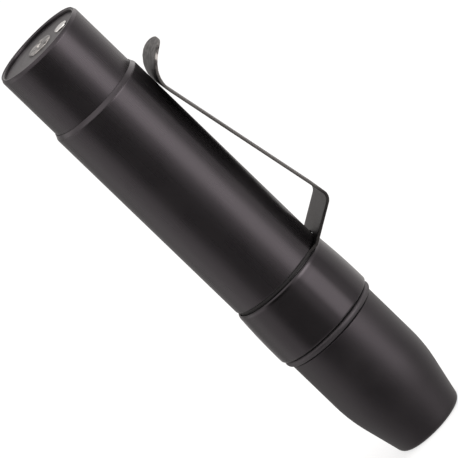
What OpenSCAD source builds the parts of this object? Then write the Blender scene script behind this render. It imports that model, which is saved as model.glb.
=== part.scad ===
// Small telescopic drawing tube with a steel belt clip, standing on its base, in millimetres.
// The tube axis is Z, the middle of the base's flat end is the origin and the clip is on the +X side.

/* [Overall] */
// Height of the closed tube from the flat end to the head rim
total_h = 230; // [180:1:320]
// Outside diameter of the barrel
barrel_d = 45; // [36:0.5:60]
// Radial gap between pieces that slide or turn on each other
running_gap = 0.05; // [0.02:0.01:0.1]
// Radial gap between pieces that are glued or pressed together
seat_gap = 0.02; // [0.01:0.01:0.05]
// Gap between faces of separate moving pieces
face_gap = 0.3; // [0.2:0.05:0.6]

/* [Base] */
// Height of the shoulder where the bead ring sits
base_h = 59.6; // [50:0.1:75]
// Outside diameter of the straight part of the base
base_d = 44.6; // [40:0.1:48]
// Bevel of the shoulder under the bead ring
base_bevel = 0.9; // [0.2:0.1:1.2]
// Height where the base starts to taper
taper_z = 34; // [25:0.5:45]
// Radius of the curve that leads into the taper
taper_r = 70; // [40:1:120]
// Lean of the taper from the axis
taper_angle = 13; // [6:0.5:20]
// Radius of the rounded edge of the flat end
foot_edge_r = 3; // [1:0.25:5]
// Thickness of the closed end
base_floor = 3; // [2:0.25:5]
// Wall of the straight part below the neck
base_wall = 2.9; // [2:0.1:4]
// Depth of the neck's seat in the base
neck_seat = 14.4; // [8:0.1:20]
// Thickness of the felt in the closed end
base_felt = 4; // [2:0.5:8]
// Thickness of the bead ring between base and collar
bead_d = 3.4; // [1.6:0.1:4]

/* [Neck] */
// Height of the neck above the base shoulder
neck_h = 19.2; // [12:0.1:24]
// Wall of the neck
neck_wall = 1.4; // [1:0.1:2.5]
// Depth of the snap ring's groove
snap_groove = 0.75; // [0.5:0.05:1.2]
// Thickness of the snap ring
snap_t = 1.1; // [0.8:0.1:1.6]
// Opening of the snap ring
snap_split = 6; // [3:0.5:10]
// Thickness of the neck seal
neck_seal_d = 1; // [0.8:0.1:1.2]

/* [Collar] */
// Length of the collar
collar_h = 26.8; // [18:0.1:34]
// Outside diameter of the collar at its upper edge
collar_top_d = 46.6; // [45:0.1:50]
// Outside diameter of the collar at its lower edge
collar_low_d = 48.4; // [45:0.1:52]
// Swell of the collar's side at mid height
collar_swell = 0.25; // [0:0.05:0.6]
// Width of the bevel on the collar's upper edge
collar_bevel = 0.8; // [0.2:0.1:0.9]
// Height of the bevel on the collar's upper edge
collar_bevel_h = 2.6; // [0.2:0.1:4]
// Bevel of the collar's lower edge
collar_edge = 0.8; // [0.2:0.1:1.2]
// Inside diameter of the collar's wall
collar_bore = 44.6; // [42:0.1:46]
// Thickness of the collar's lower lip
collar_lip = 3; // [2:0.1:5]
// Thickness of the slip washer on that lip
washer_t = 0.7; // [0.5:0.1:1.2]

/* [Thread] */
// Rise of the two-start thread in one turn
thread_lead = 8; // [4:0.5:12]
// Width of a ridge at its root
thread_root_w = 1.6; // [1:0.1:2]
// Width of a ridge at its crest
thread_crest_w = 0.9; // [0.4:0.1:1.4]
// Turns of each ridge on the ferrule
ferrule_turns = 1; // [0.4:0.05:2]
// Turns of each ridge in the collar
collar_turns = 0.65; // [0.4:0.05:2]
// Clearance between a ridge's crest and the wall opposite
thread_gap = 0.25; // [0.1:0.05:0.4]
// Height of the lowest ridge above the end of the ferrule
thread_lead_in = 1.6; // [1:0.1:4]

/* [Barrel] */
// Wall of the barrel
barrel_wall = 0.9; // [0.7:0.05:1.5]
// Width of the bevel on the barrel's lower edge
barrel_bevel = 0.6; // [0.2:0.1:0.7]
// Height of the bevel on the barrel's lower edge
barrel_bevel_h = 0.8; // [0.2:0.1:2]
// Height of the mouth ring above the barrel
mouth_h = 2; // [1:0.1:3]
// Width of the bevel on the mouth ring
mouth_bevel = 1; // [0.3:0.1:1.1]
// Depth of the mouth ring inside the barrel
mouth_skirt = 7; // [4:0.5:12]
// Wall of the mouth ring's skirt
mouth_wall = 0.68; // [0.5:0.02:0.8]
// Depth of the ferrule inside the barrel
ferrule_seat = 6.2; // [5:0.1:12]
// Length of the ferrule's threaded skirt
ferrule_skirt = 17.6; // [12:0.1:24]
// Thickness of the ferrule's flange under the clip ring
ferrule_flange = 2; // [1:0.1:3]
// Wall of the ferrule
ferrule_wall = 0.95; // [0.8:0.05:1.3]

/* [Clip] */
// Thickness of the clip's steel
clip_t = 1.2; // [0.6:0.1:1.6]
// Width of the clip
clip_w = 30; // [26:0.5:34]
// Distance of the line where the clip is bent up from the axis
root_x = 20; // [18:0.25:20.5]
// Rise of the clip's root from the flat of its ring
riser_angle = 30; // [25:0.5:50]
// Distance from the axis to the outside of the arm's foot
clip_reach = 38.3; // [34:0.1:42]
// Radius of the bend between riser and arm at mid thickness
bend_r = 4; // [2:0.25:5]
// Lean of the arm towards the barrel
arm_angle = 10.4; // [8:0.05:14]
// Height of the arm's foot above the root
bend_rise = 11.95; // [10:0.05:20]
// Radius of the curve where the arm touches down and flares out
touch_r = 13.5; // [8:0.5:16]
// Direction of the flared tip from the radial line
flare_angle = 4; // [0:1:40]
// Length of the tip's round end, seen along the axis
tip_l = 10.4; // [6:0.2:11]
// Gap around the round of the clip's root
root_gap = 0.25; // [0.2:0.05:0.4]

/* [Draw tube] */
// Outside diameter of the draw tube
draw_d = 42.4; // [36:0.1:44]
// Wall of the draw tube
draw_wall = 1; // [0.7:0.1:1.5]
// Length of the head that stands out of the closed barrel
head_l = 32; // [20:0.1:45]
// Width of the bevel on the head rim
rim_bevel = 0.7; // [0.1:0.1:0.8]
// Height of the bevel on the head rim
rim_bevel_h = 1.6; // [0.2:0.1:3]
// Fall of the head rim towards its inside
rim_fall = 0.3; // [0.1:0.1:1.2]
// Depth of the recess in the head
recess_depth = 1.6; // [1:0.1:4]
// Thickness of the plug's disc
plug_t = 2; // [1.5:0.1:4]
// Length of the plug's skirt
plug_skirt = 8; // [4:0.5:14]
// Wall of the plug's skirt
plug_wall = 1.55; // [1:0.05:2.5]
// Width of the ring that holds the plug
bezel_w = 0.8; // [0.6:0.1:2]
// Length of the guide bush below the tube
bush_h = 5; // [4:0.25:8]
// Length of the bush inside the tube
bush_skirt = 8; // [4:0.5:12]
// Wall of the bush
bush_wall = 1; // [0.8:0.1:1.5]
// Thickness of the grip ring in the bush
grip_d = 1.28; // [1:0.04:2]
// Diameter of the eyelet's flange
eyelet_d = 12; // [8:0.5:16]
// Diameter of the eyelet's hole
eyelet_hole = 3; // [2:0.25:5]
// Wall and lip of the eyelet
eyelet_wall = 0.8; // [0.5:0.1:1.2]
// Distance of the plug's rivet from the axis, towards the clip
rivet_x = 11.5; // [10:0.1:14]
// Distance of the plug's rivet from the clip's middle plane
rivet_y = -3.5; // [-6:0.1:6]
// Diameter of the rivet's head
rivet_d = 6.5; // [5:0.25:7]
// Diameter of the rivet's shank
rivet_shank = 2.5; // [2:0.25:3]
// Thickness of the felt under the plug
plug_felt = 2; // [1:0.25:4]

/* [Hidden] */
$fn = 96;
thread_steps = 36;
thread_starts = 2;
bend_steps = 10;
ridge_root = 0.12;
groove_gap = 0.1;
overcut = 1;
tip_overrun = 4;
tip_steps = 24;

base_r = base_d / 2;
barrel_r = barrel_d / 2;
bore_r = barrel_r - barrel_wall;
draw_r = draw_d / 2;
draw_in = draw_r - draw_wall;

// Profile of the base: an arc from the straight wall into a cone, and a rounded foot
cone_top_z = taper_z - taper_r * sin(taper_angle);
cone_top_r = base_r - taper_r * (1 - cos(taper_angle));
cone_line = cone_top_r * cos(taper_angle) - cone_top_z * sin(taper_angle);
foot_r = (cone_line - foot_edge_r + foot_edge_r * sin(taper_angle)) / cos(taper_angle);
foot_tip_r = foot_r + foot_edge_r * cos(taper_angle);
foot_tip_z = foot_edge_r * (1 - sin(taper_angle));
base_in = base_r - base_wall;
floor_in = foot_r - face_gap;
felt_r = floor_in - face_gap;
cone_in = cone_top_r - base_wall + face_gap;

// Stack of the collar, ring and barrel up the axis
collar_z = base_h + bead_d + face_gap;
collar_top = collar_z + collar_h;
ring_z = collar_top + face_gap;
barrel_z = ring_z + clip_t;
head_rim = total_h;
mouth_top = head_rim - head_l;
barrel_top = mouth_top - mouth_h;

// Radii inside the collar, from the neck outwards
ferrule_in = draw_in + running_gap;
ferrule_out = ferrule_in + ferrule_wall;
neck_r = ferrule_in - running_gap;
neck_in = neck_r - neck_wall;
bead_mid = neck_r + bead_d / 2 + 2 * seat_gap;
neck_bottom = base_h - neck_seat;
neck_top = base_h + neck_h;
collar_in = collar_bore / 2;
collar_lip_in = neck_r + 2 * running_gap;
flange_r = collar_in - face_gap;
washer_z = collar_z + collar_lip + seat_gap;
snap_z = washer_z + washer_t + 2 * running_gap;
snap_r = flange_r - 2 * face_gap;
neck_seal_z = neck_top - 2.5 * neck_seal_d;

// Ferrule and thread
flange_z = ring_z - ferrule_flange;
skirt_z = flange_z - ferrule_skirt;
ring_seat_r = ferrule_out + groove_gap;
ferrule_thread_z = skirt_z + thread_lead_in;
ridge_step = thread_lead / thread_starts;
collar_thread_up = 0.75 * ridge_step;
collar_thread_z = ferrule_thread_z + collar_thread_up;
collar_thread_angle = 360 * (collar_thread_up - ridge_step / 2) / thread_lead;

// Guide parts
mouth_in = draw_r + running_gap;
bush_z = barrel_z + ferrule_seat + face_gap;
tube_z = bush_z + bush_h;
bush_r = bore_r - running_gap;
bush_in = draw_in - bush_wall;
grip_r = bore_r - seat_gap - grip_d / 2;

// Head
plug_top = head_rim - recess_depth;
plug_z = plug_top - plug_t;
plug_r = draw_in - seat_gap;
plug_in = plug_r - plug_wall;
eyelet_r = eyelet_hole / 2;
eyelet_neck = eyelet_r + eyelet_wall;
rivet_r = rivet_shank / 2;
rivet_clench = rivet_r + eyelet_wall;

// Clip profile in the X-Z plane, at mid thickness
half_t = clip_t / 2;
hinge = [root_x, ring_z + half_t];
arm_foot = [clip_reach - half_t / cos(arm_angle), hinge[1] + bend_rise];
riser_run = 1 / tan(riser_angle);
corner_z = (arm_foot[0] + arm_foot[1] * tan(arm_angle) - hinge[0] + hinge[1] * riser_run)
    / (riser_run + tan(arm_angle));
corner = [hinge[0] + (corner_z - hinge[1]) * riser_run, corner_z];
bend_leg = bend_r * tan((90 + arm_angle - riser_angle) / 2);
bend_mid = corner - bend_leg * [cos(riser_angle), sin(riser_angle)]
    + bend_r * [-sin(riser_angle), cos(riser_angle)];
touch_x = barrel_r + face_gap + half_t + touch_r;
touch_mid = [touch_x, arm_foot[1] + (touch_r + (arm_foot[0] - touch_x) * cos(arm_angle)) / sin(arm_angle)];
tip_x = touch_mid[0] - touch_r * sin(flare_angle);
tip_end_angle = 90 + flare_angle - tip_overrun;

// A ring turned from a profile of [radius, height] points
module turned(points) {
    rotate_extrude()
        polygon(points);
}

// A round seal ring, its middle line at radius r and height z
module seal(r, z, d) {
    translate([0, 0, z])
        rotate_extrude()
            translate([r, 0])
                circle(d = d, $fn = 48);
}

// One thread ridge wound up the axis, its root sunk a little into the wall it stands on
module ridge(wall, crest, z, turns, angle) {
    steps = ceil(turns * thread_steps);
    inward = crest < wall;
    root = inward ? wall + ridge_root : wall - ridge_root;
    near = inward ? crest : root;
    far = inward ? root : crest;
    near_w = inward ? thread_crest_w : thread_root_w;
    far_w = inward ? thread_root_w : thread_crest_w;
    section = [[near, -near_w / 2], [far, -far_w / 2], [far, far_w / 2], [near, near_w / 2]];
    points = [
        for (i = [0:steps])
            for (p = section)
                let (a = angle + 360 * turns * i / steps, up = z + thread_lead * turns * i / steps)
                    [p[0] * cos(a), p[0] * sin(a), p[1] + up]
    ];
    sides = [
        for (i = [0:steps - 1])
            for (k = [0:3])
                let (a = 4 * i + k, b = 4 * i + (k + 1) % 4)
                    each [[a, b, a + 4], [b, b + 4, a + 4]]
    ];
    last = 4 * steps;
    ends = [[0, 2, 1], [0, 3, 2], [last, last + 1, last + 2], [last, last + 2, last + 3]];
    polyhedron(points = points, faces = concat(sides, ends), convexity = 6);
}

// All starts of a thread
module thread(wall, crest, z, turns, angle) {
    for (i = [0:thread_starts - 1])
        ridge(wall, crest, z, turns, angle + 360 * i / thread_starts);
}

// Solid outline of the base, turned about the axis
module base_outline() {
    polygon([[0, 0], [foot_r, 0], [foot_tip_r, foot_tip_z], [cone_top_r, cone_top_z],
        [base_r, taper_z], [base_r, base_h - base_bevel], [base_r - base_bevel, base_h], [0, base_h]]);
    intersection() {
        translate([foot_r, foot_edge_r])
            circle(r = foot_edge_r);
        polygon([[foot_r, 0], [foot_r + foot_edge_r * 2, 0], [foot_tip_r + foot_edge_r, foot_tip_z],
            [foot_tip_r, foot_tip_z]]);
    }
    intersection() {
        translate([base_r - taper_r, taper_z])
            circle(r = taper_r, $fn = 360);
        polygon([[cone_top_r, cone_top_z], [base_r + overcut, cone_top_z], [base_r + overcut, taper_z],
            [base_r, taper_z]]);
    }
}

// Cup that closes the tube, tapered to its flat end
module base_shell() {
    color([0.10, 0.10, 0.10])
        rotate_extrude()
            difference() {
                base_outline();
                polygon([[-overcut, base_floor], [floor_in, base_floor], [cone_in, cone_top_z],
                    [base_in, taper_z], [base_in, neck_bottom], [neck_r + seat_gap, neck_bottom],
                    [neck_r + seat_gap, base_h + overcut], [-overcut, base_h + overcut]]);
            }
}

// Hard neck in the mouth of the base: the collar turns on it and the ferrule slides over it
module base_neck() {
    groove_r = neck_r - snap_groove;
    groove_end = neck_r + overcut;
    seal_groove_r = ferrule_in - neck_seal_d - 2 * seat_gap;
    seal_half = neck_seal_d / 2 + groove_gap;
    lead_in = 0.5;
    color([0.16, 0.16, 0.17])
        difference() {
            turned([[neck_in, neck_bottom + seat_gap], [neck_r, neck_bottom + seat_gap],
                [neck_r, neck_top - lead_in], [neck_r - lead_in, neck_top], [neck_in, neck_top]]);
            turned([[groove_r, snap_z - running_gap], [groove_end, snap_z - running_gap],
                [groove_end, snap_z + snap_t + running_gap], [groove_r, snap_z + snap_t + running_gap]]);
            turned([[seal_groove_r, neck_seal_z - seal_half], [groove_end, neck_seal_z - seal_half],
                [groove_end, neck_seal_z + seal_half], [seal_groove_r, neck_seal_z + seal_half]]);
        }
}

// Round rubber bead in the seam between base and collar
module bead_ring() {
    color([0.14, 0.14, 0.14])
        seal(bead_mid, base_h + bead_d / 2 + seat_gap, bead_d);
}

// Split ring in the neck's groove that keeps the collar on
module snap_ring() {
    color([0.55, 0.55, 0.56])
        difference() {
            turned([[neck_r - snap_groove + seat_gap, snap_z], [snap_r, snap_z],
                [snap_r, snap_z + snap_t], [neck_r - snap_groove + seat_gap, snap_z + snap_t]]);
            translate([-snap_r - overcut, -snap_split / 2, snap_z - overcut])
                cube([snap_r, snap_split, snap_t + 2 * overcut]);
        }
}

// Seal near the top of the neck
module neck_seal() {
    color([0.14, 0.14, 0.14])
        seal(ferrule_in - seat_gap - neck_seal_d / 2, neck_seal_z, neck_seal_d);
}

// Felt in the closed end of the base
module base_felt_pad() {
    color([0.30, 0.30, 0.32])
        translate([0, 0, base_floor + seat_gap])
            cylinder(r = felt_r, h = base_felt);
}

// Ring that is turned to free the barrel, with a thread inside
module collar() {
    low_r = collar_low_d / 2;
    top_r = collar_top_d / 2;
    side_z = collar_z + collar_edge;
    side_h = collar_h - collar_edge - collar_bevel_h;
    side = [
        for (i = [0:bend_steps])
            let (t = i / bend_steps)
                [low_r + (top_r - low_r) * t + 4 * collar_swell * t * (1 - t), side_z + side_h * t]
    ];
    color([0.13, 0.13, 0.13]) {
        turned(concat([[collar_lip_in, collar_z], [low_r - collar_edge, collar_z]], side,
            [[top_r - collar_bevel, collar_top], [collar_in, collar_top],
            [collar_in, collar_z + collar_lip], [collar_lip_in, collar_z + collar_lip]]));
        thread(collar_in, ferrule_out + thread_gap, collar_thread_z, collar_turns, collar_thread_angle);
    }
}

// Slip washer between the collar's lip and the snap ring
module slip_washer() {
    color([0.85, 0.85, 0.80])
        turned([[collar_lip_in, washer_z], [snap_r, washer_z], [snap_r, washer_z + washer_t],
            [collar_lip_in, washer_z + washer_t]]);
}

// Outer tube, bored wider at the top for the mouth ring
module barrel() {
    seat_r = mouth_in + mouth_wall + seat_gap;
    color([0.12, 0.12, 0.12])
        turned([[bore_r, barrel_z + seat_gap], [barrel_r - barrel_bevel, barrel_z + seat_gap],
            [barrel_r, barrel_z + seat_gap + barrel_bevel_h], [barrel_r, barrel_top], [seat_r, barrel_top],
            [seat_r, barrel_top - mouth_skirt - seat_gap], [bore_r, barrel_top - mouth_skirt - seat_gap]]);
}

// Ring in the barrel's mouth that guides and stops the draw tube
module mouth_ring() {
    color([0.18, 0.18, 0.18])
        turned([[mouth_in, barrel_top - mouth_skirt], [mouth_in + mouth_wall, barrel_top - mouth_skirt],
            [mouth_in + mouth_wall, barrel_top + seat_gap], [barrel_r, barrel_top + seat_gap],
            [barrel_r - mouth_bevel, mouth_top], [mouth_in, mouth_top]]);
}

// Threaded end of the barrel, with a flange under the clip ring
module ferrule() {
    spigot_r = bore_r - seat_gap;
    color([0.14, 0.14, 0.14]) {
        turned([[ferrule_in, skirt_z], [ferrule_out, skirt_z], [ferrule_out, flange_z], [flange_r, flange_z],
            [flange_r, ring_z - seat_gap], [ring_seat_r, ring_z - seat_gap],
            [ring_seat_r, barrel_z + seat_gap], [spigot_r, barrel_z + seat_gap],
            [spigot_r, barrel_z + ferrule_seat], [ferrule_in, barrel_z + ferrule_seat]]);
        thread(ferrule_out, collar_in - thread_gap, ferrule_thread_z, ferrule_turns, 0);
    }
}

// Room for the round of the clip's root, on both sides of the barrel
module root_room() {
    difference() {
        translate([hinge[0], clip_w, hinge[1]])
            rotate([90, 0, 0])
                cylinder(r = half_t + root_gap, h = 2 * clip_w, $fn = 48);
        translate([0, 0, ring_z - overcut])
            cylinder(r = barrel_r, h = clip_t + 2 * overcut);
    }
}

// Flat steel ring clamped between barrel and ferrule, with the two lugs that the clip springs from
module clip_ring() {
    color([0.35, 0.35, 0.36])
        difference() {
            union() {
                translate([0, 0, ring_z])
                    cylinder(r = barrel_r - barrel_bevel, h = clip_t);
                translate([0, -clip_w / 2, ring_z])
                    cube([hinge[0], clip_w, clip_t]);
            }
            translate([0, 0, ring_z - overcut])
                cylinder(r = ring_seat_r + seat_gap, h = clip_t + 2 * overcut);
            root_room();
        }
}

// Points along an arc about c, from angle a0 to a1
function arc(c, r, a0, a1) = [
    for (i = [0:bend_steps])
        let (a = a0 + (a1 - a0) * i / bend_steps)
            c + r * [cos(a), sin(a)]
];

// Side view of the clip's sprung part: riser, bend, arm and the curve that touches down and flares out
module clip_side() {
    riser_side = half_t * [sin(riser_angle), -cos(riser_angle)];
    polygon(concat(
        [hinge + riser_side],
        arc(bend_mid, bend_r + half_t, riser_angle - 90, arm_angle),
        arc(touch_mid, touch_r - half_t, 180 + arm_angle, tip_end_angle),
        arc(touch_mid, touch_r + half_t, tip_end_angle, 180 + arm_angle),
        arc(bend_mid, bend_r - half_t, arm_angle, riser_angle - 90),
        [hinge - riser_side]
    ));
    translate(hinge)
        circle(r = half_t, $fn = 48);
}

// What the round end takes off the corners of the flared tip
module tip_waste() {
    start_x = tip_x - tip_l;
    round_end = [
        for (i = [0:tip_steps])
            let (a = 180 * i / tip_steps - 90)
                [start_x + tip_l * cos(a), clip_w / 2 * sin(a)]
    ];
    translate([0, 0, touch_mid[1]])
        linear_extrude(height = 2 * touch_r)
            polygon(concat(round_end, [[start_x, clip_w], [clip_reach, clip_w], [clip_reach, -clip_w],
                [start_x, -clip_w]]));
}

// Sprung part of the clip: two legs beside the barrel, riser, bend, arm and flared tip
module clip_arm() {
    color([0.42, 0.42, 0.43])
        difference() {
            translate([0, clip_w / 2, 0])
                rotate([90, 0, 0])
                    linear_extrude(height = clip_w)
                        clip_side();
            translate([0, 0, ring_z - overcut])
                cylinder(r = barrel_r + face_gap, h = bend_rise);
            tip_waste();
        }
}

// Inner tube that is drawn out of the barrel; its upper end is the head
module draw_tube() {
    color([0.12, 0.12, 0.12])
        turned([[draw_in, tube_z + seat_gap], [draw_r, tube_z + seat_gap], [draw_r, head_rim - rim_bevel_h],
            [draw_r - rim_bevel, head_rim], [draw_in, head_rim - rim_fall]]);
}

// Bush on the lower end of the draw tube that runs in the barrel
module guide_bush() {
    groove_r = grip_r - grip_d / 2 - seat_gap;
    groove_end = bush_r + overcut;
    groove_z = bush_z + bush_h / 2;
    groove_half = grip_d / 2 + groove_gap;
    color([0.80, 0.80, 0.76])
        difference() {
            turned([[bush_in, bush_z], [bush_r, bush_z], [bush_r, tube_z], [draw_in - seat_gap, tube_z],
                [draw_in - seat_gap, tube_z + bush_skirt], [bush_in, tube_z + bush_skirt]]);
            turned([[groove_r, groove_z - groove_half], [groove_end, groove_z - groove_half],
                [groove_end, groove_z + groove_half], [groove_r, groove_z + groove_half]]);
        }
}

// Rubber ring in the bush that holds the draw tube where it is left
module grip_ring() {
    color([0.14, 0.14, 0.14])
        seal(grip_r, bush_z + bush_h / 2, grip_d);
}

// Plug that closes the head, with a skirt down the inside of the tube
module end_plug() {
    color([0.20, 0.20, 0.21])
        difference() {
            turned([[0, plug_z], [plug_in, plug_z], [plug_in, plug_z - plug_skirt],
                [plug_r, plug_z - plug_skirt], [plug_r, plug_top], [0, plug_top]]);
            translate([0, 0, plug_z - overcut])
                cylinder(r = eyelet_neck + seat_gap, h = plug_t + 2 * overcut);
            translate([rivet_x, rivet_y, plug_z - overcut])
                cylinder(r = rivet_r + seat_gap, h = plug_t + 2 * overcut);
        }
}

// Ring pressed in above the plug, inside the head rim
module bezel_ring() {
    edge = bezel_w / 3;
    top = head_rim - rim_fall;
    color([0.15, 0.15, 0.15])
        turned([[plug_r - bezel_w, plug_top + seat_gap], [plug_r, plug_top + seat_gap], [plug_r, top],
            [plug_r - bezel_w + edge, top], [plug_r - bezel_w, top - edge]]);
}

// Plated eyelet in the middle of the plug: air passes here when the tube is drawn
module vent_eyelet() {
    flange = eyelet_d / 2;
    roll = eyelet_neck + 2 * eyelet_wall;
    half = eyelet_wall / 2;
    low = plug_z - seat_gap;
    top = plug_top + eyelet_wall;
    color([0.75, 0.75, 0.74])
        turned([[eyelet_r, low - eyelet_wall], [roll, low - eyelet_wall], [roll, low], [eyelet_neck, low],
            [eyelet_neck, plug_top + seat_gap], [flange, plug_top + seat_gap], [flange, plug_top + half],
            [flange - eyelet_wall, top], [eyelet_r + half, top], [eyelet_r, top - half]]);
}

// Plated rivet beside the eyelet
module plug_rivet() {
    head = rivet_d / 2;
    low = plug_z - seat_gap;
    top = plug_top + eyelet_wall;
    color([0.78, 0.78, 0.77])
        translate([rivet_x, rivet_y, 0])
            turned([[0, low - eyelet_wall], [rivet_clench, low - eyelet_wall], [rivet_clench, low],
                [rivet_r, low], [rivet_r, plug_top + seat_gap], [head, plug_top + seat_gap],
                [head, plug_top + eyelet_wall / 2], [head - eyelet_wall, top], [0, top]]);
}

// Felt under the plug
module plug_felt_pad() {
    color([0.30, 0.30, 0.32])
        translate([0, 0, plug_z - plug_felt - seat_gap])
            difference() {
                cylinder(r = plug_in - groove_gap, h = plug_felt);
                translate([0, 0, -overcut])
                    cylinder(r = eyelet_neck + 3 * eyelet_wall, h = plug_felt + 2 * overcut);
                translate([rivet_x, rivet_y, -overcut])
                    cylinder(r = rivet_clench + groove_gap, h = plug_felt + 2 * overcut);
            }
}

base_shell();
base_neck();
bead_ring();
snap_ring();
neck_seal();
base_felt_pad();
collar();
slip_washer();
barrel();
mouth_ring();
ferrule();
clip_ring();
clip_arm();
draw_tube();
guide_bush();
grip_ring();
end_plug();
bezel_ring();
vent_eyelet();
plug_rivet();
plug_felt_pad();
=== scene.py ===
"""Small telescopic drawing tube with a steel belt clip, dressed for pictures.

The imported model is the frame: metres, the tube standing on its base, its axis on Z and the clip
on the +X side. Sizes in the classes are millimetres, as in the part's source.
"""
import logging
import math
from dataclasses import dataclass
from enum import Enum
from typing import Sequence

import bpy
from mathutils import Matrix, Vector


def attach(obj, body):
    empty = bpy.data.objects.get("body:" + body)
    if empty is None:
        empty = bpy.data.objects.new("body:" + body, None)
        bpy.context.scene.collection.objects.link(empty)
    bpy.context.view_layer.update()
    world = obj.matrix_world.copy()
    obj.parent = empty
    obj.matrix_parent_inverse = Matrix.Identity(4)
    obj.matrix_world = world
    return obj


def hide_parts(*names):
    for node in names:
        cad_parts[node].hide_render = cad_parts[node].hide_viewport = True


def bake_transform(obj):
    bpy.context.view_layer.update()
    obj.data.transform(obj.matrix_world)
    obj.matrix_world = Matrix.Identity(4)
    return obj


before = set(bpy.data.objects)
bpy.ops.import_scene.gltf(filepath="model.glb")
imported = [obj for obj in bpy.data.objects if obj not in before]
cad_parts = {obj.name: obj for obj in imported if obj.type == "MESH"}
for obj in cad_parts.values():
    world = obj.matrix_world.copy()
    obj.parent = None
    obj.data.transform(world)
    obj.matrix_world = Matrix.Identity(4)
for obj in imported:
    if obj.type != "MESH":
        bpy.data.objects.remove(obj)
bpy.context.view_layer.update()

MM = 0.001
# Faces round every turned piece.
SEGMENTS = 192
# Points closer than this are merged, in metres.
WELD = 1e-6
# Gap between two pieces that sit on each other, in millimetres.
SEAT = 0.02

Point = tuple[float, float]
Colour = tuple[float, float, float]
Piece = bpy.types.Object
Socket = bpy.types.NodeSocket

log = logging.getLogger("drawing_tube")


def metres(values: Sequence[float]) -> tuple[float, ...]:
    """Turns millimetres into metres."""
    return tuple(value * MM for value in values)


def arc(centre: Point, radius: float, start: float, end: float, steps: int) -> list[Point]:
    """Points along an arc in a profile plane.

    Args:
        centre: Middle of the arc.
        radius: Radius of the arc.
        start: First angle, in degrees.
        end: Last angle, in degrees.
        steps: Number of steps between the two.

    Returns:
        The points, both ends included.
    """
    angles = [math.radians(start + (end - start) * i / steps) for i in range(steps + 1)]
    return [(centre[0] + radius * math.cos(a), centre[1] + radius * math.sin(a)) for a in angles]


def closed(points: Sequence[Point]) -> list[Point]:
    """Closes a profile: its first point comes again at the end."""
    return [*points, points[0]]


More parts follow.
